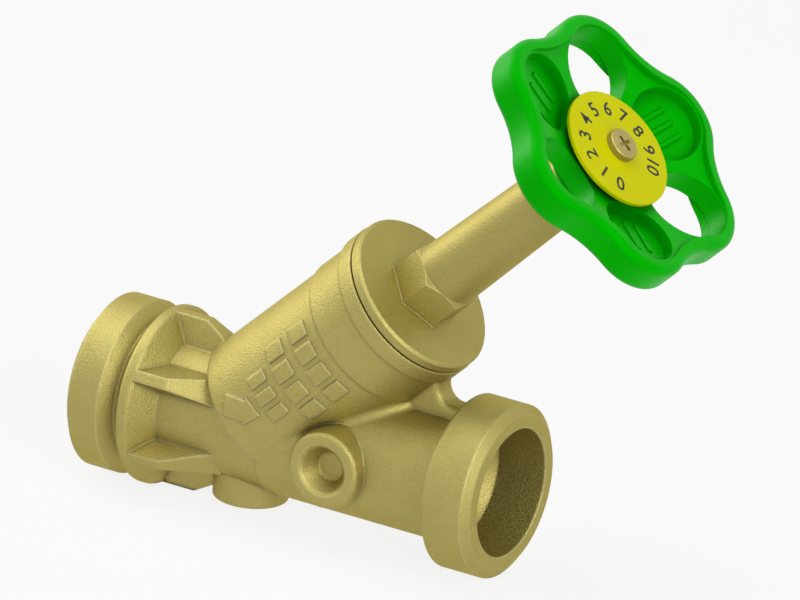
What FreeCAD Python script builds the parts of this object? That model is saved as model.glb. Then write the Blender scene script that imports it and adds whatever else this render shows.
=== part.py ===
import FreeCAD, Part
import math
import os

# Free-flow stop valve, DN 25, in millimetres.
# Origin: middle of the inlet's end face. X runs along the pipe to the outlet, Z is up.
# Heights named for the branch are measured along its axis from where it crosses the pipe's axis.

# Pipe run
total_length = 110.0
branch_x = 39.5                  # the branch axis crosses the pipe axis here
branch_angle = 45.0              # between the branch and the pipe, towards the outlet
waterway_radius = 12.5           # DN 25
inlet_core_radius = 15.0
outlet_pipe_radius = 15.5
pipe_step_past_crossing = 10.0   # the inlet core changes to the outlet pipe here
joint_overlap = 8.0              # how far solids reach into each other before they are joined
cut_spare = 1.0                  # how far a cut starts outside the solid

# Collars, G 1 1/4 shown plain at the thread's outer size
thread_radius = 20.955
collar_face_radius = 18.73
collar_chamfer = 1.6
inlet_collar_length = 9.15
outlet_collar_length = 11.8
collar_root_round = 2.0
mouth_radius = 15.5
mouth_depth = 12.7

# Groove and ribbed disc behind the inlet collar
groove_radius = 17.6
groove_slope = 2.8
groove_floor = 0.6
disc_radius = 21.5
disc_back_slope = 2.5
disc_rim_width = 2.4
disc_edge_round = 1.1
disc_face_slope = 4.3

# Ribs between the disc and the branch
rib_count = 6
rib_radius = 21.35
rib_crest_width = 2.7
rib_flare = 5.6                  # how much one side of a rib widens down to the core
rib_shift = 0.55                 # of a slanting rib's crest towards the side
rib_crest_end = 26.0             # from the inlet's end face
rib_slope_length = 12.0
rib_root_depth = 2.5             # into the inlet's core
rib_root_spare = 0.6

# Branch
branch_start = 5.0
branch_radius = 18.5
branch_floor = 3.0
junction_round = 2.0             # where the branch meets the outlet pipe
collar_start = 41.4
collar_radius = 19.1
ring_start = 52.2
ring_radius = 20.0
ring_lower_round = 0.5
ring_top_round = 0.3
branch_top = 57.1
step_slope = 0.6
chamber_radius = 16.0
seat_lip_height = 1.0
seat_lip_width = 0.9
bonnet_thread_radius = 16.5
body_thread_length = 11.3

# Web under the branch
web_half_width = 3.5
web_nose_x = 50.7                # from the crossing
web_shelf_height = 17.95
web_nose_round = 4.0
web_edge_round = 1.6
web_root = 1.0                   # into the outlet pipe's wall

# Bosses
side_boss_x = 30.1               # from the crossing
side_boss_reach = 18.7
side_boss_radius = 9.1
side_boss_draft = 1.2
side_boss_round = 1.3
side_recess_radius = 5.55
side_recess_depth = 4.7
side_recess_draft = 2.2
side_recess_round = 0.6
bottom_boss_x = 1.1              # from the crossing
bottom_boss_radius = 9.0
bottom_boss_reach = 19.2
bottom_boss_round = 0.7

# Raised arrow and raised blank marks
relief_height = 0.4
relief_root = 0.3                # into the branch's wall
arrow_start = 2.4                # from the crossing
arrow_shaft_length = 5.7
arrow_head_length = 4.3
arrow_shaft_width = 5.1
arrow_head_width = 7.2
arrow_height = 9.2               # above the pipe's axis
mark_length = 5.4
mark_gap = 5.0                   # in degrees, between marks in a row
mark_row_heights = (33.0, 24.8, 17.0)
mark_row_counts = (4, 4, 3)
mark_row_start_angles = (33.0, 32.0, 20.0)
mark_width_angles = (12.4, 12.4, 9.0)

# Bonnet
skirt_length = 23.5
skirt_clearance = 0.05
flange_radius = 19.8
flange_gap_radius = 18.9
flange_gap = 0.45
flange_height = 3.0
flange_chamfer = 0.6
flange_cone_rise = 0.3
hexagon_flats = 16.5
hexagon_top = 69.4
hexagon_chamfer_angle = 30.0
neck_base_radius = 8.2
neck_top_radius = 7.3
neck_length = 45.2
neck_top_round = 0.4
neck_bore_radius = 4.6
bonnet_seal_height = 2.8
bonnet_seal_depth = 1.9
bonnet_seal_above_end = 7.2

# Plug
stem_radius = 8.0
plug_radius = 14.4
seal_radius = 13.9
seal_thickness = 3.0
seal_proud = 1.4
seal_gap = 0.2                   # between the seal and the seat when closed
plug_plate_height = 2.8
plug_cone_height = 3.0
key_height = 4.5
key_clearance = 0.1
lift = 11.0
lift_spare = 0.6
nut_wall = 3.5                   # under the spindle's thread hole
plug_washer_radius = 9.5
plug_washer_thickness = 1.2
small_chamfer = 0.4
plug_screw_radius = 3.0
plug_screw_head_radius = 5.0
plug_screw_head_height = 2.6
plug_screw_flats = 4.0
plug_screw_reach = 4.4
screw_socket_depth = 1.6

# Rings in the bonnet's mouth
mouth_pocket_radius = 11.0
retainer_set_back = 0.2
retainer_thickness = 1.2
stem_seal_height = 2.6
guide_ring_height = 3.2
guide_land = 1.3
running_clearance = 0.05
ring_wall_clearance = 0.05

# Spindle
spindle_thread_radius = 3.95
spindle_neck_radius = 4.0
spindle_radius = 4.5
spindle_collar_radius = 5.7
spindle_collar_height = 2.2
spindle_cavity_radius = 6.0
thrust_washer_thickness = 0.8
spindle_bush_height = 2.8
spindle_end_clearance = 0.5
spindle_end_chamfer = 0.6
o_ring_section = 1.8
o_ring_groove_share = 1.2        # a groove's width over its ring's section
o_ring_below_top = (14.0, 9.6)   # places of the two rings under the neck's top
neck_bush_height = 3.6
wiper_height = 2.6
wiper_set_back = 0.4
neck_pocket_radius = 5.9

# Hand wheel
hub_gap = 0.8
hub_radius = 9.5
hub_round = 0.8
hub_to_rim = 6.66
hub_to_dish = 8.65               # from the hub's back to the dish's front beside the hub
hub_to_marker = 12.98            # from the hub's back to the disc's face
rim_thickness = 9.04
wheel_radius = 35.2
lobe_depth = 4.7
lobe_count = 6
lobe_round = 13.2
rim_round = 2.0
rim_width = 3.4
dish_slope = 0.3
web_thickness = 5.8
window_count = 3
window_to_hub = 3.1
window_to_rim = 0.2
pocket_inset = 0.3               # a pocket's radius is this much under a window's
pocket_depth = 2.6
pocket_bar_height = 0.45
pocket_bar_width = 1.1
pocket_bar_pitch = 3.6
pocket_bar_length = 9.0
hub_front_radius = 6.8
square_flats = 6.2
square_length = 8.9
insert_radius = 6.4
insert_cover = 1.0

# Disc and screw on the wheel
marker_radius = 15.07
marker_thickness = 1.0
marker_edge_round = 0.2
marker_cone_radius = 7.6
marker_cone_rise = 0.5
wheel_screw_radius = 2.0
wheel_screw_head_radius = 4.1
wheel_screw_head_height = 1.7
wheel_screw_reach = 10.0
wheel_screw_head_round = 0.4
wheel_screw_head_draft = 0.15
cross_width = 0.9
cross_length = 4.0
cross_depth = 0.9

# Heights along the branch axis that follow from the sizes above
chamber_floor = branch_start + branch_floor
seat_top = chamber_floor + seat_lip_height
seal_bottom = seat_top + seal_gap
seal_top = seal_bottom + seal_thickness
plug_bottom = seal_bottom + seal_proud
key_flats = 2 * (stem_radius + key_clearance)    # the round stem passes into the key's room
key_room_flats = key_flats + 2 * key_clearance
land_radius = key_room_flats / 2 / math.cos(math.pi / 6) + key_clearance
plug_top = seal_top + plug_plate_height
stem_bottom = plug_top + plug_cone_height
skirt_bottom = branch_top - skirt_length
retainer_bottom = skirt_bottom + retainer_set_back
stem_seal_bottom = retainer_bottom + retainer_thickness
guide_ring_bottom = stem_seal_bottom + stem_seal_height
guide_ring_top = guide_ring_bottom + guide_ring_height
key_room_bottom = guide_ring_top + guide_land
key_bottom = key_room_bottom + spindle_end_clearance * 2
key_top = key_bottom + key_height
key_room_top = key_top + lift + lift_spare
bush_top = key_room_top + spindle_bush_height
lower_washer_top = bush_top + thrust_washer_thickness
spindle_collar_bottom = lower_washer_top + running_clearance
spindle_collar_top = spindle_collar_bottom + spindle_collar_height
upper_washer_bottom = spindle_collar_top + running_clearance
shoulder = upper_washer_bottom + thrust_washer_thickness
neck_top = hexagon_top + neck_length
thread_hole_bottom = stem_bottom + spindle_end_clearance
spindle_end = thread_hole_bottom + lift + spindle_end_clearance
hub_back = neck_top + hub_gap
rim_back = hub_back + hub_to_rim
rim_front = rim_back + rim_thickness
dish_at_hub = hub_back + hub_to_dish
square_bottom = hub_back + insert_cover
square_top = square_bottom + square_length
marker_top = hub_back + hub_to_marker
marker_back = marker_top - marker_thickness

# Radii on the wheel that follow from the sizes above
wheel_valley_radius = wheel_radius - lobe_depth
window_radius = (wheel_radius - rim_width - window_to_rim - hub_radius - window_to_hub) / 2
window_circle = hub_radius + window_to_hub + window_radius
pocket_radius = window_radius - pocket_inset

crossing = FreeCAD.Vector(branch_x, 0, 0)
zero = FreeCAD.Vector(0, 0, 0)
axis_x = FreeCAD.Vector(1, 0, 0)
axis_y = FreeCAD.Vector(0, 1, 0)
axis_z = FreeCAD.Vector(0, 0, 1)


# A closed face in the XZ plane. A corner is (x, z), or (x, z, radius) where it is rounded.
def outline(corners):
    points = [FreeCAD.Vector(corner[0], 0, corner[1]) for corner in corners]
    count = len(points)
    edges = []
    ends = []
    for i, corner in enumerate(corners):
        radius = corner[2] if len(corner) > 2 else 0.0
        if radius == 0.0:
            ends.append((points[i], points[i]))
            continue
        back = (points[i - 1] - points[i]).normalize()
        ahead = (points[(i + 1) % count] - points[i]).normalize()
        half = back.getAngle(ahead) / 2
        start = points[i] + back * (radius / math.tan(half))
        finish = points[i] + ahead * (radius / math.tan(half))
        bisector = (back + ahead).normalize()
        middle = points[i] + bisector * (radius / math.sin(half) - radius)
        edges.append(Part.Arc(start, middle, finish).toShape())
        ends.append((start, finish))
    for i in range(count):
        start, finish = ends[i][1], ends[(i + 1) % count][0]
        if start.distanceToPoint(finish) > 1e-6:
            edges.append(Part.LineSegment(start, finish).toShape())
    return Part.Face(Part.Wire(Part.__sortEdges__(edges)))


# A solid of revolution about Z from corners (radius, height)
def turned(corners, degrees=360):
    return outline(corners).revolve(zero, axis_z, degrees)


# A ring or tube about Z
def ring(inner, outer, bottom, top):
    return turned([(inner, bottom), (outer, bottom), (outer, top), (inner, top)])


def cylinder(radius, bottom, top):
    return Part.makeCylinder(radius, top - bottom, FreeCAD.Vector(0, 0, bottom))


# A prism about Z with a regular outline, flat to flat
def prism(flats, sides, bottom, top, turn=0.0):
    corner = flats / 2 / math.cos(math.pi / sides)
    angles = [math.radians(turn) + 2 * math.pi * i / sides for i in range(sides + 1)]
    points = [FreeCAD.Vector(corner * math.cos(a), corner * math.sin(a), bottom) for a in angles]
    return Part.Face(Part.makePolygon(points)).extrude(axis_z * (top - bottom))


def box(x, y, z):
    size = FreeCAD.Vector(x[1] - x[0], y[1] - y[0], z[1] - z[0])
    return Part.makeBox(size.x, size.y, size.z, FreeCAD.Vector(x[0], y[0], z[0]))


# From the frame of a turned piece, axis Z, to the pipe's axis
def on_pipe(shape):
    return shape.rotated(zero, axis_y, 90)


# The same to the branch's axis
def on_branch(shape):
    return shape.rotated(zero, axis_y, 90 - branch_angle).translated(crossing)


# Everything on one side of a plane across the branch's axis
def branch_space(bottom, top):
    reach = total_length
    return on_branch(box((-reach, reach), (-reach, reach), (bottom, top)))


def inlet_side():
    disc_start = inlet_collar_length + groove_slope + groove_floor
    disc_face = disc_start + disc_back_slope + disc_rim_width
    inside_pipe = branch_x + pipe_step_past_crossing + joint_overlap
    return on_pipe(turned([
        (0, 0),
        (collar_face_radius, 0),
        (thread_radius, collar_chamfer),
        (thread_radius, inlet_collar_length),
        (groove_radius, inlet_collar_length + groove_slope),
        (groove_radius, disc_start),
        (disc_radius, disc_start + disc_back_slope, disc_edge_round),
        (disc_radius, disc_face, disc_edge_round),
        (inlet_core_radius, disc_face + disc_face_slope),
        (inlet_core_radius, inside_pipe),
        (0, inside_pipe)]))


def outlet_side():
    step = branch_x + pipe_step_past_crossing
    collar = total_length - outlet_collar_length
    return on_pipe(turned([
        (0, step),
        (outlet_pipe_radius, step),
        (outlet_pipe_radius, collar, collar_root_round),
        (thread_radius, collar),
        (thread_radius, total_length - collar_chamfer),
        (collar_face_radius, total_length),
        (0, total_length)]))


# Collar and top ring, which stand round the branch's plain tube
def branch_rings():
    inside_tube = branch_radius - step_slope
    solid = turned([
        (chamber_radius, collar_start - cut_spare),
        (inside_tube, collar_start - cut_spare),
        (inside_tube, collar_start - step_slope),
        (collar_radius, collar_start + step_slope),
        (collar_radius, ring_start),
        (ring_radius, ring_start + step_slope, ring_lower_round),
        (ring_radius, branch_top, ring_top_round),
        (chamber_radius, branch_top)])
    return on_branch(solid.rotated(zero, axis_z, 180))


def distance_from_branch_axis(point):
    away = point - crossing
    lean = math.radians(branch_angle)
    along = away.x * math.cos(lean) + away.z * math.sin(lean)
    return math.sqrt(max(away.Length ** 2 - along ** 2, 0.0))


# True when the edge runs on the outlet pipe's surface and on the branch's
def at_junction(edge):
    for share in (0.2, 0.5, 0.8):
        point = edge.valueAt(edge.FirstParameter + share * (edge.LastParameter - edge.FirstParameter))
        off_pipe = abs(math.hypot(point.y, point.z) - outlet_pipe_radius)
        off_branch = abs(distance_from_branch_axis(point) - branch_radius)
        if max(off_pipe, off_branch) > 1e-3:
            return False
    return True


# Outlet pipe and branch tube with a rounded inner corner between them
def pipe_and_branch():
    tube = cylinder(branch_radius, branch_start, ring_start).rotated(zero, axis_z, 180)
    joined = outlet_side().fuse(on_branch(tube))
    return joined.makeFillet(junction_round, [edge for edge in joined.Edges if at_junction(edge)])


# One rib: its crest lies at the angle given, counted from the side with the boss upwards.
# A rib beside the mould's split keeps both sides alike, the others widen only away from the side.
def rib(angle):
    low = inlet_core_radius - rib_root_depth
    half = rib_crest_width / 2
    lean = math.sin(math.radians(angle))
    upright = abs(math.cos(math.radians(angle))) < 0.01
    towards_side = 0.0 if upright else math.copysign(rib_shift, -lean * math.cos(math.radians(angle)))
    flare_up = rib_flare / 2 if upright else rib_flare if towards_side < 0 else 0.0
    flare_down = rib_flare / 2 if upright else rib_flare - flare_up
    start = inlet_collar_length + groove_slope + groove_floor + disc_back_slope + disc_rim_width / 2
    end = rib_crest_end + rib_slope_length
    crest_up = half + towards_side
    crest_down = half - towards_side
    section = [(low, -crest_down - flare_down), (rib_radius, -crest_down),
               (rib_radius, crest_up), (low, crest_up + flare_up)]
    points = [FreeCAD.Vector(start, -r, t) for r, t in section]
    long_rib = Part.Face(Part.makePolygon(points + points[:1])).extrude(axis_x * (end - start))
    side = [(start, 0), (start, rib_radius + cut_spare), (rib_crest_end, rib_radius),
            (end, inlet_core_radius - rib_root_spare), (end, 0)]
    points = [FreeCAD.Vector(x, -r, -disc_radius) for x, r in side]
    slope = Part.Face(Part.makePolygon(points + points[:1])).extrude(axis_z * (2 * disc_radius))
    return long_rib.common(slope).rotated(zero, axis_x, -angle)


def ribs():
    turn = 360 / rib_count
    return [rib(turn / 2 + turn * i) for i in range(rib_count)]


def web():
    nose = branch_x + web_nose_x
    shelf_end = total_length - collar_chamfer
    lean = math.radians(branch_angle)
    inside = crossing + FreeCAD.Vector(math.cos(lean), 0, math.sin(lean)) * (ring_start + step_slope)
    corners = [
        (nose, web_shelf_height, web_nose_round),
        (shelf_end, web_shelf_height),
        (shelf_end, waterway_radius + web_root),
        (branch_x + branch_radius, waterway_radius + web_root),
        (inside.x, inside.z),
        (nose, inside.z - (nose - inside.x) * 0.9)]
    plate = outline(corners).extrude(axis_y * (2 * web_half_width)).translated(axis_y * -web_half_width)
    nose_edges = []
    for edge in plate.Edges:
        middle = edge.valueAt((edge.FirstParameter + edge.LastParameter) / 2)
        across = abs(abs(middle.y) - web_half_width) < 1e-6
        on_nose = middle.x > nose - 1e-6 and middle.z > web_shelf_height - 1e-6
        if across and on_nose:
            nose_edges.append(edge)
    return plate.makeFillet(web_edge_round, nose_edges)


def side_boss():
    base = side_boss_reach - joint_overlap
    boss = turned([
        (0, base),
        (side_boss_radius + side_boss_draft, base),
        (side_boss_radius, side_boss_reach, side_boss_round),
        (0, side_boss_reach)])
    return boss.rotated(zero, axis_x, 90).translated(crossing + axis_x * side_boss_x)


def side_recess():
    floor = side_boss_reach - side_recess_depth
    lip = side_boss_round * 0.6
    recess = turned([
        (0, floor),
        (side_recess_radius - side_recess_draft, floor, side_recess_round),
        (side_recess_radius, side_boss_reach - lip),
        (side_recess_radius + lip, side_boss_reach),
        (side_recess_radius + lip, side_boss_reach + cut_spare),
        (0, side_boss_reach + cut_spare)])
    return recess.rotated(zero, axis_x, 90).translated(crossing + axis_x * side_boss_x)


def bottom_boss():
    boss = turned([
        (0, bottom_boss_reach - joint_overlap),
        (bottom_boss_radius, bottom_boss_reach - joint_overlap),
        (bottom_boss_radius, bottom_boss_reach, bottom_boss_round),
        (0, bottom_boss_reach)])
    return boss.rotated(zero, axis_x, 180).translated(crossing + axis_x * bottom_boss_x)


# The skin just above the branch's surface, in which raised marks lie
def relief_skin(bottom, top):
    return ring(branch_radius - relief_root, branch_radius + relief_height, bottom, top)


def arrow():
    x0 = branch_x + arrow_start
    x1 = x0 + arrow_shaft_length
    x2 = x1 + arrow_head_length
    z = arrow_height
    points = [(x0, z - arrow_shaft_width / 2), (x1, z - arrow_shaft_width / 2),
              (x1, z - arrow_head_width / 2), (x2, z), (x1, z + arrow_head_width / 2),
              (x1, z + arrow_shaft_width / 2), (x0, z + arrow_shaft_width / 2)]
    block = outline(points).extrude(axis_y * -total_length)
    return block.common(on_branch(relief_skin(branch_start, collar_start)))


# Blank raised marks in rows round the branch, where a maker would cast its own
def marks():
    low, high = branch_radius - relief_root, branch_radius + relief_height
    shapes = []
    rows = zip(mark_row_heights, mark_row_counts, mark_row_start_angles, mark_width_angles)
    for height, count, first_angle, wide in rows:
        top = height + mark_length
        for i in range(count):
            mark = turned([(low, height), (high, height), (high, top), (low, top)], wide)
            # Zero is the side with the boss, and positive goes up
            turn = -90 - (first_angle - (wide + mark_gap) * i)
            shapes.append(on_branch(mark.rotated(zero, axis_z, turn)))
    return shapes


def mouth_and_waterway():
    step = mouth_radius - waterway_radius
    return turned([
        (0, -cut_spare),
        (mouth_radius, -cut_spare),
        (mouth_radius, mouth_depth),
        (waterway_radius, mouth_depth + step),
        (waterway_radius, total_length),
        (0, total_length)])


def valve_body():
    added = [inlet_side(), branch_rings(), web(), side_boss(), bottom_boss(), arrow()]
    shell = pipe_and_branch().fuse(added + ribs() + marks())
    inlet = on_pipe(mouth_and_waterway()).common(branch_space(-total_length, branch_start))
    outlet = on_pipe(mouth_and_waterway()).mirror(zero, axis_x).translated(axis_x * total_length)
    outlet = outlet.common(branch_space(seat_top, 2 * total_length))
    thread_start = branch_top - body_thread_length
    thread_bore = bonnet_thread_radius + skirt_clearance
    lip = waterway_radius + seat_lip_width
    chamber = on_branch(turned([
        (0, seat_top),
        (lip, seat_top),
        (lip + seat_lip_height, chamber_floor),
        (chamber_radius, chamber_floor),
        (chamber_radius, thread_start),
        (thread_bore, thread_start + thread_bore - chamber_radius),
        (thread_bore, branch_top - step_slope),
        (thread_bore + step_slope, branch_top),
        (thread_bore + step_slope, branch_top + cut_spare),
        (0, branch_top + cut_spare)]))
    seat_hole = on_branch(cylinder(waterway_radius, branch_start - cut_spare, seat_top + cut_spare))
    return shell.cut([inlet, outlet, chamber, seat_hole, side_recess()]).removeSplitter()


def bonnet():
    skirt = chamber_radius - skirt_clearance
    groove_bottom = skirt_bottom + bonnet_seal_above_end
    thread_start = branch_top - body_thread_length + step_slope
    flange_bottom = branch_top + flange_gap
    flange_edge = branch_top + flange_height - flange_chamfer
    flange_face = branch_top + flange_height
    outside = turned([
        (0, skirt_bottom),
        (skirt, skirt_bottom),
        (skirt, groove_bottom),
        (skirt - bonnet_seal_depth, groove_bottom),
        (skirt - bonnet_seal_depth, groove_bottom + bonnet_seal_height),
        (skirt, groove_bottom + bonnet_seal_height),
        (skirt, thread_start),
        (bonnet_thread_radius, thread_start + bonnet_thread_radius - skirt),
        (bonnet_thread_radius, branch_top),
        (flange_gap_radius, branch_top),
        (flange_gap_radius, flange_bottom),
        (flange_radius, flange_bottom),
        (flange_radius, flange_edge),
        (flange_radius - flange_chamfer, flange_face),
        (hexagon_flats / 2, flange_face + flange_cone_rise),
        (neck_base_radius, flange_face + flange_cone_rise),
        (neck_base_radius, hexagon_top),
        (neck_top_radius, neck_top, neck_top_round),
        (0, neck_top)])
    nut = prism(hexagon_flats, 6, flange_face - flange_chamfer, hexagon_top, 30)
    corner = hexagon_flats / 2 / math.cos(math.pi / 6)
    chamfer = (corner - neck_base_radius) * math.tan(math.radians(hexagon_chamfer_angle))
    crown = turned([
        (0, skirt_bottom),
        (corner, skirt_bottom),
        (corner, hexagon_top - chamfer),
        (neck_base_radius, hexagon_top),
        (0, hexagon_top)])
    mouth = turned([
        (0, skirt_bottom - cut_spare),
        (mouth_pocket_radius, skirt_bottom - cut_spare),
        (mouth_pocket_radius, guide_ring_top),
        (land_radius, guide_ring_top),
        (land_radius, key_room_bottom + cut_spare),
        (0, key_room_bottom + cut_spare)])
    key_room = prism(key_room_flats, 6, key_room_bottom, key_room_top)
    bore = turned([
        (0, key_room_top - cut_spare),
        (spindle_cavity_radius, key_room_top - cut_spare),
        (spindle_cavity_radius, shoulder),
        (neck_bore_radius, shoulder),
        (neck_bore_radius, neck_top - neck_pocket_depth()),
        (neck_pocket_radius, neck_top - neck_pocket_depth()),
        (neck_pocket_radius, neck_top + cut_spare),
        (0, neck_top + cut_spare)])
    return on_branch(outside.fuse(nut.common(crown)).cut([mouth, key_room, bore]))


def neck_pocket_depth():
    return wiper_set_back + wiper_height + neck_bush_height


def bonnet_o_ring():
    middle = skirt_bottom + bonnet_seal_above_end + bonnet_seal_height / 2
    floor = chamber_radius - skirt_clearance - bonnet_seal_depth
    section = (chamber_radius - floor) / 2
    return on_branch(Part.makeTorus(floor + section, section, FreeCAD.Vector(0, 0, middle)))


def seal_retainer():
    inner = stem_radius + 8 * running_clearance
    return on_branch(ring(inner, mouth_pocket_radius, retainer_bottom, stem_seal_bottom))


# A lip ring: its inner edge leans down on the stem, with a groove behind the lip
def stem_seal():
    inner = stem_radius + running_clearance
    outer = mouth_pocket_radius - ring_wall_clearance
    bottom, top = stem_seal_bottom, guide_ring_bottom
    third = (outer - inner) / 3
    return on_branch(turned([
        (inner, bottom),
        (inner + third, bottom),
        (inner + 1.5 * third, bottom + stem_seal_height / 2),
        (inner + 2 * third, bottom),
        (outer, bottom),
        (outer, top),
        (inner + third / 2, top),
        (inner + third / 2, bottom + stem_seal_height / 2)]))


def guide_ring():
    outer = mouth_pocket_radius - ring_wall_clearance
    inner = stem_radius + running_clearance
    return on_branch(ring(inner, outer, guide_ring_bottom, guide_ring_top))


def spindle_bush():
    inner = spindle_neck_radius + 2 * running_clearance
    return on_branch(ring(inner, spindle_cavity_radius, key_room_top, bush_top))


def thrust_washer(bottom, shaft):
    inner = shaft + 2 * running_clearance
    outer = spindle_cavity_radius - ring_wall_clearance
    return on_branch(ring(inner, outer, bottom, bottom + thrust_washer_thickness))


def neck_bush():
    bottom = neck_top - neck_pocket_depth()
    outer = neck_pocket_radius - ring_wall_clearance
    return on_branch(ring(spindle_radius + running_clearance, outer, bottom, bottom + neck_bush_height))


def dust_wiper():
    bottom = neck_top - wiper_set_back - wiper_height
    inner = spindle_radius + running_clearance
    outer = neck_pocket_radius - ring_wall_clearance
    return on_branch(turned([
        (inner, bottom + wiper_height / 2),
        (inner + small_chamfer, bottom),
        (outer, bottom),
        (outer, bottom + wiper_height),
        (inner, bottom + wiper_height)]))


def spindle():
    groove_floor_radius = neck_bore_radius - running_clearance - o_ring_section
    shaft = turned([
        (0, spindle_end),
        (spindle_thread_radius - spindle_end_chamfer, spindle_end),
        (spindle_thread_radius, spindle_end + spindle_end_chamfer),
        (spindle_thread_radius, key_room_top),
        (spindle_neck_radius, key_room_top),
        (spindle_neck_radius, spindle_collar_bottom),
        (spindle_collar_radius, spindle_collar_bottom),
        (spindle_collar_radius, spindle_collar_top),
        (spindle_radius, spindle_collar_top),
        (spindle_radius, square_bottom),
        (0, square_bottom)])
    square = prism(square_flats, 4, square_bottom, square_top, 45)
    half = o_ring_section * o_ring_groove_share / 2
    outside = spindle_radius + cut_spare
    grooves = [ring(groove_floor_radius, outside, neck_top - place - half, neck_top - place + half)
               for place in o_ring_below_top]
    screw_hole = cylinder(wheel_screw_radius, marker_back - wheel_screw_reach, square_top + cut_spare)
    return on_branch(shaft.fuse(square).cut(grooves + [screw_hole]))


def spindle_o_rings():
    outer = neck_bore_radius - running_clearance
    middle = outer - o_ring_section / 2
    rings = [Part.makeTorus(middle, o_ring_section / 2, FreeCAD.Vector(0, 0, neck_top - place))
             for place in o_ring_below_top]
    return Part.makeCompound([on_branch(each) for each in rings])


def plug_carrier():
    body = turned([
        (0, plug_bottom),
        (plug_radius, plug_bottom),
        (plug_radius, plug_top),
        (stem_radius, stem_bottom),
        (stem_radius, key_bottom + key_height / 2),
        (0, key_bottom + key_height / 2)])
    key = prism(key_flats, 6, key_bottom, key_top)
    recess = cylinder(seal_radius, plug_bottom - cut_spare, seal_top)
    thread_hole_radius = spindle_thread_radius + running_clearance
    thread_hole = cylinder(thread_hole_radius, thread_hole_bottom, key_top + cut_spare)
    screw_hole = cylinder(plug_screw_radius, plug_bottom - cut_spare, seal_top + plug_screw_reach)
    return on_branch(body.fuse(key).cut([recess, thread_hole, screw_hole]))


def plug_seal():
    return on_branch(ring(plug_screw_radius, seal_radius - ring_wall_clearance, seal_bottom, seal_top))


def plug_washer():
    bottom = seal_bottom - plug_washer_thickness
    return on_branch(turned([
        (plug_screw_radius, bottom),
        (plug_washer_radius - small_chamfer, bottom),
        (plug_washer_radius, bottom + small_chamfer),
        (plug_washer_radius, seal_bottom),
        (plug_screw_radius, seal_bottom)]))


def plug_screw():
    head_top = seal_bottom - plug_washer_thickness
    head_bottom = head_top - plug_screw_head_height
    shank = cylinder(plug_screw_radius, head_top, seal_top + plug_screw_reach)
    head = turned([
        (0, head_bottom),
        (plug_screw_head_radius, head_bottom, small_chamfer),
        (plug_screw_head_radius, head_top),
        (0, head_top)])
    socket = prism(plug_screw_flats, 6, head_bottom - cut_spare, head_bottom + screw_socket_depth)
    return on_branch(head.fuse(shank).cut(socket))


# The wheel's lobed face: arcs for the lobes, joined by hollow arcs that touch them
def lobed_face(inset, height):
    lobe_middle = wheel_radius - lobe_round
    half = math.pi / lobe_count
    near = wheel_valley_radius
    gain = 2 * near - 2 * lobe_middle * math.cos(half) - 2 * lobe_round
    rest = lobe_round ** 2 - lobe_middle ** 2 - near ** 2 + 2 * lobe_middle * near * math.cos(half)
    valley_round = rest / gain
    valley_middle = near + valley_round
    reach = math.hypot(valley_middle * math.cos(half) - lobe_middle, valley_middle * math.sin(half))
    share = lobe_round / reach
    touch_x = lobe_middle + (valley_middle * math.cos(half) - lobe_middle) * share
    touch_y = valley_middle * math.sin(half) * share
    edges = []
    small, large = lobe_round - inset, valley_round + inset
    toward = FreeCAD.Vector(touch_x - lobe_middle, touch_y, 0).normalize()
    for i in range(lobe_count):
        turn = math.degrees(2 * half * i)
        tip = FreeCAD.Vector(lobe_middle + small, 0, height)
        left = FreeCAD.Vector(lobe_middle, 0, height) + toward * small
        right = FreeCAD.Vector(left.x, -left.y, height)
        lobe = Part.Arc(right, tip, left).toShape()
        deep = valley_middle - large
        hollow = FreeCAD.Vector(deep * math.cos(half), deep * math.sin(half), height)
        swing = FreeCAD.Rotation(axis_z, math.degrees(2 * half))
        valley = Part.Arc(left, hollow, swing.multVec(right)).toShape()
        edges += [each.rotated(zero, axis_z, turn) for each in (lobe, valley)]
    return Part.Face(Part.Wire(Part.__sortEdges__(edges)))


# Height of the dished front at a radius
def dish(radius):
    return dish_at_hub + (radius - hub_radius) * dish_slope


def at_circle(shape, angle):
    return shape.translated(axis_x * window_circle).rotated(zero, axis_z, angle)


# A hollow with straight walls and a floor that follows the dish
def pocket():
    lean = math.degrees(math.atan(dish_slope))
    middle = FreeCAD.Vector(0, 0, dish(window_circle) - pocket_depth)
    wide = wheel_radius
    space = box((-wide, wide), (-wide, wide), (0, wide)).rotated(zero, axis_y, -lean)
    return cylinder(pocket_radius, rim_back, rim_front + cut_spare).common(space.translated(middle))


# Raised bars on a pocket's floor, for grip
def pocket_bars():
    lean = math.degrees(math.atan(dish_slope))
    floor = FreeCAD.Vector(0, 0, dish(window_circle) - pocket_depth)
    bars = []
    for i in (-1, 0, 1):
        across = pocket_bar_pitch * i
        bar = box((-pocket_bar_length / 2, pocket_bar_length / 2),
                  (across - pocket_bar_width / 2, across + pocket_bar_width / 2),
                  (-cut_spare, pocket_bar_height))
        bars.append(bar.rotated(zero, axis_y, -lean).translated(floor))
    return bars


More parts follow.
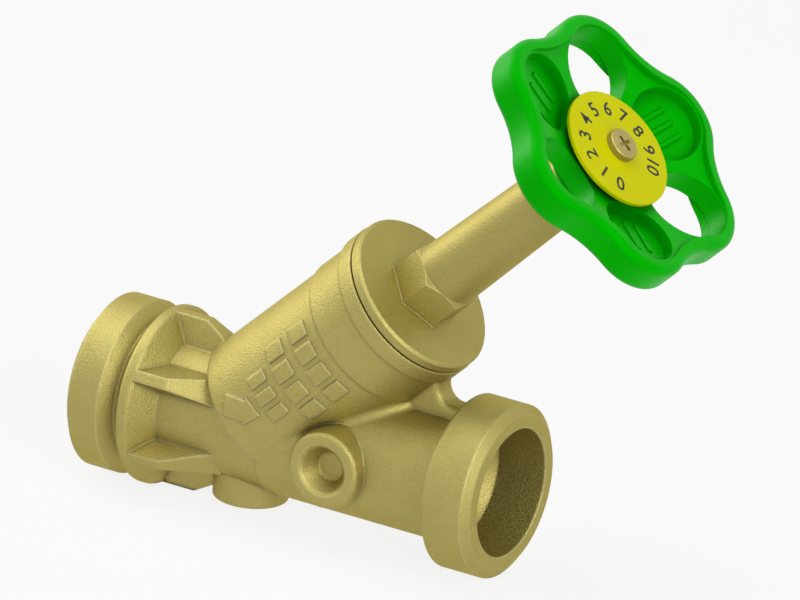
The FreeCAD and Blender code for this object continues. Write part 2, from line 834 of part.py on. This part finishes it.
def handwheel():
    blank = lobed_face(0, rim_back).extrude(axis_z * rim_thickness)
    flat_edges = [edge for edge in blank.Edges
                  if abs(edge.BoundBox.ZMax - edge.BoundBox.ZMin) < 1e-3]
    blank = blank.makeFillet(rim_round, flat_edges)
    through = axis_z * (rim_thickness + 2 * cut_spare)
    hollow = lobed_face(rim_width, rim_back - cut_spare).extrude(through)
    far = wheel_radius
    web_band = turned([
        (0, dish(0)), (0, dish(0) - web_thickness),
        (far, dish(far) - web_thickness), (far, dish(far))])
    inside_rim = rim_width - cut_spare
    web_band = web_band.common(lobed_face(inside_rim, hub_back - far).extrude(axis_z * 3 * far))
    hub = turned([
        (0, hub_back), (hub_radius, hub_back, hub_round), (hub_radius, dish(hub_radius)),
        (hub_front_radius, marker_back), (0, marker_back)])
    wheel = blank.cut(hollow).fuse([web_band, hub])
    turn = 360 / window_count
    windows = [at_circle(cylinder(window_radius, hub_back, rim_front + cut_spare), turn * (i + 0.5))
               for i in range(window_count)]
    pockets = [at_circle(pocket(), turn * i) for i in range(window_count)]
    bars = [at_circle(bar, turn * i) for i in range(window_count) for bar in pocket_bars()]
    wheel = wheel.cut(windows + pockets).fuse(bars)
    socket = cylinder(insert_radius, square_bottom, square_top + insert_cover / 2)
    shaft = cylinder(spindle_radius + 4 * running_clearance, hub_back - cut_spare, square_bottom)
    screw = cylinder(wheel_screw_radius + 2 * running_clearance, square_top, marker_back + cut_spare)
    return on_branch(wheel.cut([socket, shaft, screw]).rotated(zero, axis_z, 90))


def drive_insert():
    body = cylinder(insert_radius, square_bottom, square_top + insert_cover / 2)
    square = prism(square_flats, 4, square_bottom - cut_spare, square_top, 45)
    screw = cylinder(wheel_screw_radius + 2 * running_clearance, square_top - cut_spare, marker_back)
    return on_branch(body.cut([square, screw]))


def marker_disc():
    hole = wheel_screw_radius + 2 * running_clearance
    return on_branch(turned([
        (hole, marker_back),
        (marker_radius, marker_back),
        (marker_radius, marker_top, marker_edge_round),
        (marker_cone_radius, marker_top),
        (wheel_screw_head_radius, marker_top + marker_cone_rise),
        (hole, marker_top + marker_cone_rise)]))


def wheel_screw():
    head_bottom = marker_top + marker_cone_rise
    head_top = head_bottom + wheel_screw_head_height
    head = turned([
        (0, head_bottom),
        (wheel_screw_head_radius, head_bottom),
        (wheel_screw_head_radius - wheel_screw_head_draft, head_top, wheel_screw_head_round),
        (0, head_top)])
    shank = cylinder(wheel_screw_radius, marker_back - wheel_screw_reach, head_bottom)
    slots = [box((-cross_length / 2, cross_length / 2), (-cross_width / 2, cross_width / 2),
                 (head_top - cross_depth, head_top + cut_spare)).rotated(zero, axis_z, turn)
             for turn in (0, 90)]
    return on_branch(head.fuse(shank).cut(slots))


def parts():
    return {
        "valve_body": valve_body(),
        "bonnet": bonnet(),
        "bonnet_o_ring": bonnet_o_ring(),
        "seal_retainer": seal_retainer(),
        "stem_seal": stem_seal(),
        "guide_ring": guide_ring(),
        "spindle_bush": spindle_bush(),
        "lower_thrust_washer": thrust_washer(bush_top, spindle_neck_radius),
        "upper_thrust_washer": thrust_washer(upper_washer_bottom, spindle_radius),
        "neck_bush": neck_bush(),
        "dust_wiper": dust_wiper(),
        "spindle": spindle(),
        "spindle_o_rings": spindle_o_rings(),
        "plug_carrier": plug_carrier(),
        "plug_seal": plug_seal(),
        "plug_washer": plug_washer(),
        "plug_screw": plug_screw(),
        "handwheel": handwheel(),
        "drive_insert": drive_insert(),
        "marker_disc": marker_disc(),
        "wheel_screw": wheel_screw(),
    }


os.makedirs("parts", exist_ok=True)
for node, shape in parts().items():
    shape.exportStep("parts/" + node + ".step")
    print(node, "solids", len(shape.Solids), "valid", shape.isValid(), "volume", round(shape.Volume, 1))
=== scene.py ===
import math

import bpy
import numpy as np
from mathutils import Matrix, Vector


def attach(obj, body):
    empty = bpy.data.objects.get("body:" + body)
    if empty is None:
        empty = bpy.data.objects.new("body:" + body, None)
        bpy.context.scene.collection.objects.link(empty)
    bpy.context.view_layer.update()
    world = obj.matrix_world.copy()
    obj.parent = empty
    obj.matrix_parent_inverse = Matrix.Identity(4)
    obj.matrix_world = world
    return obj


# Free-flow stop valve DN 25: finishes, dial figures, floor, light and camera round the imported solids.
# Metres. The pipe runs along X, the branch leans 45 degrees in the XZ plane.

crossing = Vector((0.0395, 0.0, 0.0))                    # where the branch axis meets the pipe axis
branchAxis = Vector((1.0, 0.0, 1.0)).normalized()
branchUp = Vector((-1.0, 0.0, 1.0)).normalized()         # across the branch, away from the outlet
branchSide = Vector((0.0, 1.0, 0.0))

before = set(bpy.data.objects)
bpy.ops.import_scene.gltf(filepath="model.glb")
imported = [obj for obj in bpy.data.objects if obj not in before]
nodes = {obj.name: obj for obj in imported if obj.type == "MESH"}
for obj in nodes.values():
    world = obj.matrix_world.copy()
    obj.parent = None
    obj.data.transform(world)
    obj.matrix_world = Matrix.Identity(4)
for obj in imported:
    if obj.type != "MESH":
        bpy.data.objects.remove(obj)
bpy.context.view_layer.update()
print("frame loaded:", len(nodes), "solids' meshes")


def hexToLinear(code):
    # sRGB hex to linear RGBA: c/12.92 below 0.04045, else ((c+0.055)/1.055)^2.4
    srgb = np.array([int(code[i:i + 2], 16) for i in (1, 3, 5)]) / 255
    linear = np.where(srgb <= 0.04045, srgb / 12.92, ((srgb + 0.055) / 1.055) ** 2.4)
    return (*linear.tolist(), 1.0)


def inMetres(millimetres):
    return millimetres / 1000


def perMetre(millimetres):
    return 1000.0 / millimetres                          # a texture's scale for features of this size


def addNode(tree, kind, settings=None, links=None):
    # settings are the node's own options or its input values, links are sockets wired to its inputs
    node = tree.nodes.new(kind)
    for name, value in (settings or {}).items():
        if isinstance(name, int) or name in node.inputs:
            node.inputs[name].default_value = value
        else:
            setattr(node, name, value)
    for name, source in (links or {}).items():
        tree.links.new(source, node.inputs[name])
    return node


def emptyMaterial(name):
    material = bpy.data.materials.new(name)
    material.use_nodes = True
    tree = material.node_tree
    tree.nodes.clear()
    shader = addNode(tree, "ShaderNodeBsdfPrincipled")
    addNode(tree, "ShaderNodeOutputMaterial", links={"Surface": shader.outputs[0]})
    place = addNode(tree, "ShaderNodeTexCoord").outputs["Object"]
    return material, tree, shader, place


def speckle(tree, place, size, detail=2.0, high=1.0, spread=0.25):
    # noise with features of this size in mm, stretched so that 0.5 +- spread becomes 0..high
    noise = addNode(tree, "ShaderNodeTexNoise", {"Scale": perMetre(size), "Detail": detail},
                    {"Vector": place})
    return addNode(tree, "ShaderNodeMapRange",
                   {"From Min": 0.5 - spread, "From Max": 0.5 + spread, "To Max": high},
                   {"Value": noise.outputs["Fac"]}).outputs[0]


def blendColours(tree, factor, first, second):
    # inputs 6 and 7 and output 2 are the mix node's colours
    mix = addNode(tree, "ShaderNodeMix", {"data_type": "RGBA"}, {0: factor})
    for index, colour in ((6, first), (7, second)):
        if isinstance(colour, str):
            mix.inputs[index].default_value = hexToLinear(colour)
        else:
            tree.links.new(colour, mix.inputs[index])
    return mix.outputs[2]


def bumped(tree, height, depth, normal=None):
    # depth in mm from the height's 0 to its 1
    links = {"Height": height}
    if normal is not None:
        links["Normal"] = normal
    bump = addNode(tree, "ShaderNodeBump", {"Strength": 1.0, "Distance": inMetres(depth)}, links)
    return bump.outputs[0]


def dulled(tree, shader, pattern, levels):
    # roughness between its low and high level, after the pattern
    dull = addNode(tree, "ShaderNodeMapRange", {"To Min": levels[0], "To Max": levels[1]},
                   {"Value": pattern})
    tree.links.new(dull.outputs[0], shader.inputs["Roughness"])


def softNormal(tree, radius):
    # normals rounded at the edges, by this radius in mm
    return addNode(tree, "ShaderNodeBevel", {"samples": 6, "Radius": inMetres(radius)}).outputs[0]


flatCosine = 0.995                                       # rounded normal . flat normal beside an edge
edgeCosine = 0.86                                        # and right on it


def edgeMask(tree, rounded):
    # 0 on flat places and 1 on edges
    flat = addNode(tree, "ShaderNodeNewGeometry").outputs["Normal"]
    same = addNode(tree, "ShaderNodeVectorMath", {"operation": "DOT_PRODUCT"}, {0: rounded, 1: flat})
    return addNode(tree, "ShaderNodeMapRange", {"From Min": flatCosine, "From Max": edgeCosine},
                   {"Value": same.outputs["Value"]}).outputs[0]


def latheRings(tree, place, pitch):
    # fine rings of a lathe tool about the branch's axis: 1-D noise over height plus radius,
    # where height = (p - crossing) . axis and radius = |p - crossing - height * axis|
    away = addNode(tree, "ShaderNodeVectorMath", {"operation": "SUBTRACT", 1: crossing[:]}, {0: place})
    height = addNode(tree, "ShaderNodeVectorMath", {"operation": "DOT_PRODUCT", 1: branchAxis[:]},
                     {0: away.outputs[0]})
    onAxis = addNode(tree, "ShaderNodeVectorMath", {"operation": "SCALE", 0: branchAxis[:]},
                     {"Scale": height.outputs["Value"]})
    across = addNode(tree, "ShaderNodeVectorMath", {"operation": "DISTANCE"},
                     {0: away.outputs[0], 1: onAxis.outputs[0]})
    along = addNode(tree, "ShaderNodeMath", {"operation": "ADD"},
                    {0: height.outputs["Value"], 1: across.outputs["Value"]})
    noise = addNode(tree, "ShaderNodeTexNoise",
                    {"noise_dimensions": "1D", "Scale": perMetre(pitch), "Detail": 1.0},
                    {"W": along.outputs[0]})
    return noise.outputs["Fac"]


deepSky = 0.35                                           # share of the sky seen deep in a corner
openSky = 0.93                                           # and on a surface that counts as open


def crevices(tree, base, reach, kept, deep):
    # Painted shade in inner corners: towards the deep colour where little sky is seen within reach mm,
    # and kept is the share of the base colour left there
    seen = addNode(tree, "ShaderNodeAmbientOcclusion", {"samples": 8, "Distance": inMetres(reach)})
    unshaded = addNode(tree, "ShaderNodeMapRange",
                    {"From Min": deepSky, "From Max": openSky, "To Min": kept},
                    {"Value": seen.outputs["AO"]})
    return blendColours(tree, unshaded.outputs[0], deep, base)


# Sand-cast gunmetal (red brass), shot-blasted: a satin metal with a fine sparkling grain,
# a slow wave from the sand and softly rounded edges, with painted glints, a painted highlight on the
# edges and painted shade in the corners.
# Real grit marks are near 0.25 mm, drawn at 0.38 mm so that they show at this size.
castLook = {
    "tone": "#ACA15D", "toneDark": "#A49855",            # fresh gunmetal, a greenish dull gold
    "paintedGlint": "#D8CB8A", "glintShare": 0.26,              # painted glints: lighter flecks for the grit's marks catching the light
    "edge": "#DED3A0", "edgeShare": 0.40,                # painted highlight on the edges, with some burnish from the blast drum
    "toneSize": 9.0, "toneDetail": 4.0,                  # sizes and depths in mm, details in octaves
    "grainSize": 0.38, "grainDetail": 3.0, "grainDepth": 0.095,
    "waveSize": 3.2, "waveDepth": 0.02,
    "pitSize": 3.0, "pitDepth": 0.015, "pitFloor": 0.05, "pitRim": 0.16,
    "shadeAndDirt": "#4A4222", "shadeReach": 1.4, "shadeKept": 0.12,   # painted shade in the corners, with sand and scale
    "edgeRadius": 0.9, "metallic": 0.75, "roughness": (0.32, 0.56),
    "rim": "#DECB90",                                    # a metal's own tint, seen at a slant
}


def castRelief(tree, place, look, rounded):
    # the sand's slow wave, with shallow pits: 0 at a cell's middle, 1 from the pit's rim outwards
    wave = speckle(tree, place, look["waveSize"])
    cells = addNode(tree, "ShaderNodeTexVoronoi", {"Scale": perMetre(look["pitSize"])},
                    {"Vector": place})
    pit = addNode(tree, "ShaderNodeMapRange",
                  {"From Min": look["pitFloor"], "From Max": look["pitRim"]},
                  {"Value": cells.outputs["Distance"]})
    normal = bumped(tree, wave, look["waveDepth"], rounded)
    return bumped(tree, pit.outputs[0], look["pitDepth"], normal)


# Gunmetal turned on a lathe and lightly blasted: rings 0.35 mm apart under a fine satin grain.
# The grain is drawn at 0.4 mm, for the same reason as on the casting.
bonnetLook = {
    "tone": "#AB9F5C", "toneDark": "#A39754",
    # painted glints: lighter flecks in the base colour
    "paintedGlint": "#D6C988", "glintShare": 0.20,
    # painted highlight on the edges, with some burnish
    "edge": "#DCD19D", "edgeShare": 0.42,
    "toneSize": 12.0, "toneDetail": 3.0,
    "grainSize": 0.40, "grainDetail": 2.0, "grainDepth": 0.070,
    "ringPitch": 0.35, "ringDepth": 0.006,
    # painted shade in the corners
    "shadeAndDirt": "#4A4222", "shadeReach": 1.4, "shadeKept": 0.65,
    "edgeRadius": 0.45, "metallic": 0.75, "roughness": (0.38, 0.58),
    "rim": "#DECB90",
}


def turnedRelief(tree, place, look, rounded):
    return bumped(tree, latheRings(tree, place, look["ringPitch"]), look["ringDepth"], rounded)


grainSpread = 0.3                                        # soft-sided grains
glintSpread = 0.18                                       # painted glints with harder sides


def blastedGunmetal(name, look, relief):
    # relief makes the coarse bumps, and the blast's grain lies over them
    material, tree, shader, place = emptyMaterial(name)
    rounded = softNormal(tree, look["edgeRadius"])
    tone = speckle(tree, place, look["toneSize"], look["toneDetail"])
    grain = speckle(tree, place, look["grainSize"], look["grainDetail"], spread=grainSpread)
    # painted glints: lighter flecks in the base colour
    paintedGlint = speckle(tree, place, look["grainSize"], high=look["glintShare"], spread=glintSpread)
    # painted highlight along the edges, with some burnish
    edge = addNode(tree, "ShaderNodeMath", {"operation": "MULTIPLY", 1: look["edgeShare"]},
                   {0: edgeMask(tree, rounded)}).outputs[0]
    base = blendColours(tree, tone, look["tone"], look["toneDark"])
    base = blendColours(tree, paintedGlint, base, look["paintedGlint"])
    base = blendColours(tree, edge, base, look["edge"])
    # painted shade in the corners, with sand and scale
    base = crevices(tree, base, look["shadeReach"], look["shadeKept"], look["shadeAndDirt"])
    normal = bumped(tree, grain, look["grainDepth"], relief(tree, place, look, rounded))
    tree.links.new(base, shader.inputs["Base Color"])
    tree.links.new(normal, shader.inputs["Normal"])
    dulled(tree, shader, grain, look["roughness"])
    shader.inputs["Metallic"].default_value = look["metallic"]
    shader.inputs["Specular Tint"].default_value = hexToLinear(look["rim"])
    return material


turnedLooks = {
    # name: colour, darker colour, ring pitch mm, ring depth mm, roughness low and high
    "turned brass, bright": ("#C9A550", "#B8923F", 0.22, 0.010, (0.22, 0.36)),
    "brass screw, satin": ("#B6A868", "#A69757", 0.20, 0.012, (0.36, 0.50)),
    "turned stainless steel": ("#B9B8B3", "#A6A5A1", 0.18, 0.008, (0.20, 0.34)),
}
turnedEdgeRadius = 0.15                                  # mm, as is the size below
tarnishSize = 4.0


def turnedMetal(name):
    # Bar metal straight from the lathe: bright, with concentric rings that stretch the highlight
    colour, darker, pitch, depth, roughness = turnedLooks[name]
    material, tree, shader, place = emptyMaterial(name)
    rings = latheRings(tree, place, pitch)
    tarnish = speckle(tree, place, tarnishSize, detail=3.0)
    normal = bumped(tree, rings, depth, softNormal(tree, turnedEdgeRadius))
    tree.links.new(blendColours(tree, tarnish, colour, darker), shader.inputs["Base Color"])
    tree.links.new(normal, shader.inputs["Normal"])
    dulled(tree, shader, rings, roughness)
    shader.inputs["Metallic"].default_value = 1.0
    return material


# Sizes and depths in mm. The gloss has its own tint, since light gets a little way into these
# plastics before it comes back, and deep is the colour of the painted shade deep in a corner.
plasticLooks = {
    "moulded nylon, green": {
        "tone": "#01BB01", "toneDark": "#01B401", "deep": "#014E00", "glossTint": "#28FF20",
        "edgeRadius": 0.5, "grainSize": 0.5, "grainDepth": 0.020,
        "roughness": (0.34, 0.48), "gloss": 0.22,
    },
    "moulded ABS, yellow": {
        "tone": "#DEDC01", "toneDark": "#D8D601", "deep": "#8A8700", "glossTint": "#FFFF30",
        "edgeRadius": 0.25, "grainSize": 0.6, "grainDepth": 0.006,
        "roughness": (0.30, 0.40), "gloss": 0.15,
    },
    "machined PTFE, white": {
        "tone": "#E6E4DC", "toneDark": "#DAD8CF", "deep": "#A8A69E", "glossTint": "#FFFFFF",
        "edgeRadius": 0.15, "grainSize": 0.4, "grainDepth": 0.006,
        "roughness": (0.42, 0.55), "gloss": 0.35,
    },
    "moulded EPDM rubber, black": {
        "tone": "#1D1D1E", "toneDark": "#262626", "deep": "#0C0C0C", "glossTint": "#FFFFFF",
        "edgeRadius": 0.15, "grainSize": 0.4, "grainDepth": 0.012,
        "roughness": (0.62, 0.80), "gloss": 0.25,
    },
}
plasticShared = {
    "toneSize": 14.0, "peelSize": 2.5,                   # mm
    "peelPerGrain": 2.0,                                 # the orange peel's depth in grain depths
    # reach in mm and kept share of the painted shade in the corners
    "shadeReach": 6.0, "shadeKept": 0.55, "refraction": 1.5,
}


def mouldedPlastic(name):
    # Injection-moulded or pressed: even colour, a faint orange peel from the mould's wall
    # and a soft gloss. Spark-eroded mould grain is near 0.1 mm, drawn at 0.4 to 0.6 mm
    # so that it shows at this size.
    look, shared = plasticLooks[name], plasticShared
    material, tree, shader, place = emptyMaterial(name)
    tone = speckle(tree, place, shared["toneSize"], detail=3.0)
    grain = speckle(tree, place, look["grainSize"], spread=grainSpread)
    peel = speckle(tree, place, shared["peelSize"])
    base = blendColours(tree, tone, look["tone"], look["toneDark"])
    # painted shade deep in the corners
    base = crevices(tree, base, shared["shadeReach"], shared["shadeKept"], look["deep"])
    normal = softNormal(tree, look["edgeRadius"])
    normal = bumped(tree, peel, shared["peelPerGrain"] * look["grainDepth"], normal)
    normal = bumped(tree, grain, look["grainDepth"], normal)
    tree.links.new(base, shader.inputs["Base Color"])
    tree.links.new(normal, shader.inputs["Normal"])
    dulled(tree, shader, grain, look["roughness"])
    shader.inputs["IOR"].default_value = shared["refraction"]
    shader.inputs["Specular IOR Level"].default_value = look["gloss"]
    shader.inputs["Specular Tint"].default_value = hexToLinear(look["glossTint"])
    return material


finishes = {
    "valve_body": blastedGunmetal("cast gunmetal, shot-blasted", castLook, castRelief),
    "bonnet": blastedGunmetal("turned gunmetal, satin", bonnetLook, turnedRelief),
    "wheel_screw": turnedMetal("brass screw, satin"),
    "handwheel": mouldedPlastic("moulded nylon, green"),
    "marker_disc": mouldedPlastic("moulded ABS, yellow"),
}
finishes.update(dict.fromkeys(
    ("spindle", "plug_carrier", "spindle_bush", "drive_insert", "seal_retainer"),
    turnedMetal("turned brass, bright")))
finishes.update(dict.fromkeys(("plug_washer", "plug_screw"), turnedMetal("turned stainless steel")))
finishes.update(dict.fromkeys(
    ("plug_seal", "bonnet_o_ring", "spindle_o_rings", "stem_seal", "dust_wiper"),
    mouldedPlastic("moulded EPDM rubber, black")))
finishes.update(dict.fromkeys(
    ("guide_ring", "lower_thrust_washer", "upper_thrust_washer", "neck_bush"),
    mouldedPlastic("machined PTFE, white")))
for name, solid in nodes.items():
    solid.data.materials.clear()
    solid.data.materials.append(finishes[name])
print("finishes on", len(finishes), "solids")

dial = {
    "figures": [str(i) for i in range(11)],              # a plain opening scale
    "firstAngle": 226.0, "lastAngle": -47.0,             # from +Y towards branchUp, in degrees
    "radius": 10.6, "height": 5.2, "bold": 0.06,         # mm, to the figures' middle, type and weight
    "face": 128.38, "sink": 0.02, "stand": 0.04,         # mm along the branch axis, and the ink's skin
    "curveSteps": 4,
    "tone": "#0B0B08", "toneThin": "#191811",            # full cover, and where the ink is thin
    "coverSize": 0.5, "coverDepth": 0.01, "roughness": (0.4, 0.6),
}


def printedInk():
    # Pad-printed black ink: matt, slightly uneven in cover
    material, tree, shader, place = emptyMaterial("pad-printed ink, black")
    cover = speckle(tree, place, dial["coverSize"], detail=3.0)
    base = blendColours(tree, cover, dial["tone"], dial["toneThin"])
    tree.links.new(base, shader.inputs["Base Color"])
    tree.links.new(bumped(tree, cover, dial["coverDepth"]), shader.inputs["Normal"])
    dulled(tree, shader, cover, dial["roughness"])
    return material


def dialFigure(text, angle):
    # The glyph's own x runs clockwise round the disc and its y points outwards:
    # p = crossing + face * axis + radius * out + x * clockwise + y * out + z * axis
    curve = bpy.data.curves.new("figure_" + text, "FONT")
    curve.body = text
    curve.size = inMetres(dial["height"])
    curve.offset = inMetres(dial["bold"])
    curve.align_x = "CENTER"
    curve.align_y = "CENTER"
    curve.resolution_u = dial["curveSteps"]
    curve.extrude = inMetres(dial["sink"] + dial["stand"]) / 2
    glyph = bpy.data.objects.new("glyph", curve)
    bpy.context.scene.collection.objects.link(glyph)
    bpy.context.view_layer.update()
    mesh = bpy.data.meshes.new_from_object(glyph)
    bpy.data.objects.remove(glyph)
    flat = np.zeros(len(mesh.vertices) * 3, np.float32)
    mesh.vertices.foreach_get("co", flat)
    flat = flat.reshape(-1, 3).astype(float)
    flat[:, :2] -= (flat[:, :2].max(0) + flat[:, :2].min(0)) / 2
    flat[:, 2] += inMetres(dial["stand"] - dial["sink"]) / 2
    turn = math.radians(angle)
    axis, side, upwards = np.array(branchAxis), np.array(branchSide), np.array(branchUp)
    out = side * math.cos(turn) + upwards * math.sin(turn)
    clockwise = side * math.sin(turn) - upwards * math.cos(turn)
    middle = np.array(crossing) + inMetres(dial["face"]) * axis + inMetres(dial["radius"]) * out
    placed = middle + flat @ np.stack([clockwise, out, axis])
    mesh.vertices.foreach_set("co", placed.astype(np.float32).ravel())
    mesh.update()
    figure = bpy.data.objects.new("dial_figure_" + text, mesh)
    bpy.context.scene.collection.objects.link(figure)
    return figure


ink = printedInk()
angles = np.linspace(dial["firstAngle"], dial["lastAngle"], len(dial["figures"]))
for text, angle in zip(dial["figures"], angles):
    figure = dialFigure(text, angle)
    figure.data.materials.clear()
    figure.data.materials.append(ink)
    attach(figure, "wheel")
print("dial figures:", len(angles))

studio = {
    "floorHeight": -0.0215, "floorReach": 6.0,           # m, the height is the lowest point of the body
    "floorColour": "#E6E6E4", "mottleColour": "#E3E3E1", "mottleSize": 40.0,
    "rollerSize": 1.5, "rollerDepth": 0.01,              # mm, the paint roller's skin
    "floorRoughness": 0.8, "floorGloss": 0.1,
    "floorWhite": 0.86,                                  # share of plain white seen in the floor
    "skyColour": "#FFFFFF", "skyStrength": 0.15,
    "middle": (0.062, 0.0, 0.030),                       # what the lamps point at
    # direction towards the lamp, distance m, side m, strength as the share of white it gives face on
    "lamps": {
        "left": ((-0.92, 0.00, 0.38), 1.35, 0.75, 0.35),
        "upperLeft": ((-0.60, 0.10, 0.79), 1.35, 0.75, 0.21),
        "right": ((0.80, -0.45, 0.40), 1.35, 0.75, 0.48),
        "top": ((0.05, -0.20, 0.98), 1.35, 0.75, 0.29),
    },
}


def seenRays(tree, share):
    # share for camera, glossy and transmission rays, and 0 for the rays that carry light
    path = addNode(tree, "ShaderNodeLightPath")
    either = addNode(tree, "ShaderNodeMath", {"operation": "MAXIMUM"},
                     {0: path.outputs["Is Camera Ray"], 1: path.outputs["Is Glossy Ray"]})
    anySeen = addNode(tree, "ShaderNodeMath", {"operation": "MAXIMUM"},
                      {0: either.outputs[0], 1: path.outputs["Is Transmission Ray"]})
    shared = addNode(tree, "ShaderNodeMath", {"operation": "MULTIPLY", 1: share},
                     {0: anySeen.outputs[0]})
    return shared.outputs[0]


def floorGrid(reach, height, steps=24):
    # p(u, v) = (u, v, height) over a square, as one flat grid
    line = np.linspace(-reach, reach, steps + 1)
    x, y = np.meshgrid(line, line, indexing="ij")
    points = np.stack([x, y, np.full_like(x, height)], -1).reshape(-1, 3)
    corner = (np.arange(steps)[:, None] * (steps + 1) + np.arange(steps)[None, :]).ravel()
    faces = np.stack([corner, corner + steps + 1, corner + steps + 2, corner + 1], -1)
    mesh = bpy.data.meshes.new("floor")
    mesh.from_pydata(points.tolist(), [], faces.tolist())
    mesh.update()
    floor = bpy.data.objects.new("floor", mesh)
    bpy.context.scene.collection.objects.link(floor)
    return floor


def paintedFloor():
    # Matt white paint with a barely seen mottle
    material, tree, shader, place = emptyMaterial("matt white paint")
    mottle = speckle(tree, place, studio["mottleSize"])
    roller = speckle(tree, place, studio["rollerSize"])
    base = blendColours(tree, mottle, studio["floorColour"], studio["mottleColour"])
    tree.links.new(base, shader.inputs["Base Color"])
    tree.links.new(bumped(tree, roller, studio["rollerDepth"]), shader.inputs["Normal"])
    shader.inputs["Roughness"].default_value = studio["floorRoughness"]
    shader.inputs["Specular IOR Level"].default_value = studio["floorGloss"]
    # Seen directly or in a reflection the floor is mixed towards plain white, and its shadow stays
    white = addNode(tree, "ShaderNodeEmission", {"Color": hexToLinear("#FFFFFF"), "Strength": 1.0})
    seen = seenRays(tree, studio["floorWhite"])
    mixed = addNode(tree, "ShaderNodeMixShader",
                    links={0: seen, 1: shader.outputs[0], 2: white.outputs[0]})
    outputNode = next(node for node in tree.nodes if node.type == "OUTPUT_MATERIAL")
    tree.links.new(mixed.outputs[0], outputNode.inputs["Surface"])
    return material


floor = floorGrid(studio["floorReach"], studio["floorHeight"])
floor.data.materials.append(paintedFloor())

world = bpy.data.worlds.new("studio")
world.use_nodes = True
bpy.context.scene.world = world
sky = world.node_tree
sky.nodes.clear()
strength = addNode(sky, "ShaderNodeMath", {"operation": "ADD", 1: studio["skyStrength"]},
                   {0: seenRays(sky, 1.0 - studio["skyStrength"])})
background = addNode(sky, "ShaderNodeBackground", {"Color": hexToLinear(studio["skyColour"])},
                     {"Strength": strength.outputs[0]})
addNode(sky, "ShaderNodeOutputWorld", links={"Surface": background.outputs[0]})

for name, (direction, distance, side, share) in studio["lamps"].items():
    lamp = bpy.data.lights.new(name, "AREA")
    lamp.shape = "SQUARE"
    lamp.size = side
    # irradiance = energy / (pi * distance^2), and white needs pi
    lamp.energy = share * math.pi * math.pi * distance ** 2
    holder = bpy.data.objects.new(name, lamp)
    towards = Vector(direction).normalized()
    holder.location = Vector(studio["middle"]) + towards * distance
    holder.rotation_euler = towards.to_track_quat("Z", "Y").to_euler()
    holder.visible_camera = False
    bpy.context.scene.collection.objects.link(holder)
print("studio lit")

view = {
    "right": (0.85425, 0.51370, 0.07984),                # the picture's axes
    "up": (-0.24363, 0.25992, 0.93439),
    "aim": (0.062155, 0.024813, 0.028567), "distance": 5.673,    # m
    "lens": 1092.9, "sensor": 36.0,                      # mm
    "nearest": 0.1, "farthest": 30.0,                    # m
}
right = Vector(view["right"]).normalized()
towardsCamera = right.cross(Vector(view["up"])).normalized()
up = towardsCamera.cross(right)
cameraData = bpy.data.cameras.new("camera")
cameraData.lens = view["lens"]
cameraData.sensor_width = view["sensor"]
cameraData.clip_start = view["nearest"]
cameraData.clip_end = view["farthest"]
camera = bpy.data.objects.new("camera", cameraData)
turnMatrix = Matrix((right, up, towardsCamera)).transposed().to_4x4()
eye = Vector(view["aim"]) + towardsCamera * view["distance"]
camera.matrix_world = Matrix.Translation(eye) @ turnMatrix
bpy.context.scene.collection.objects.link(camera)
bpy.context.scene.camera = camera
bpy.context.scene.view_settings.view_transform = "Standard"
print("camera set")
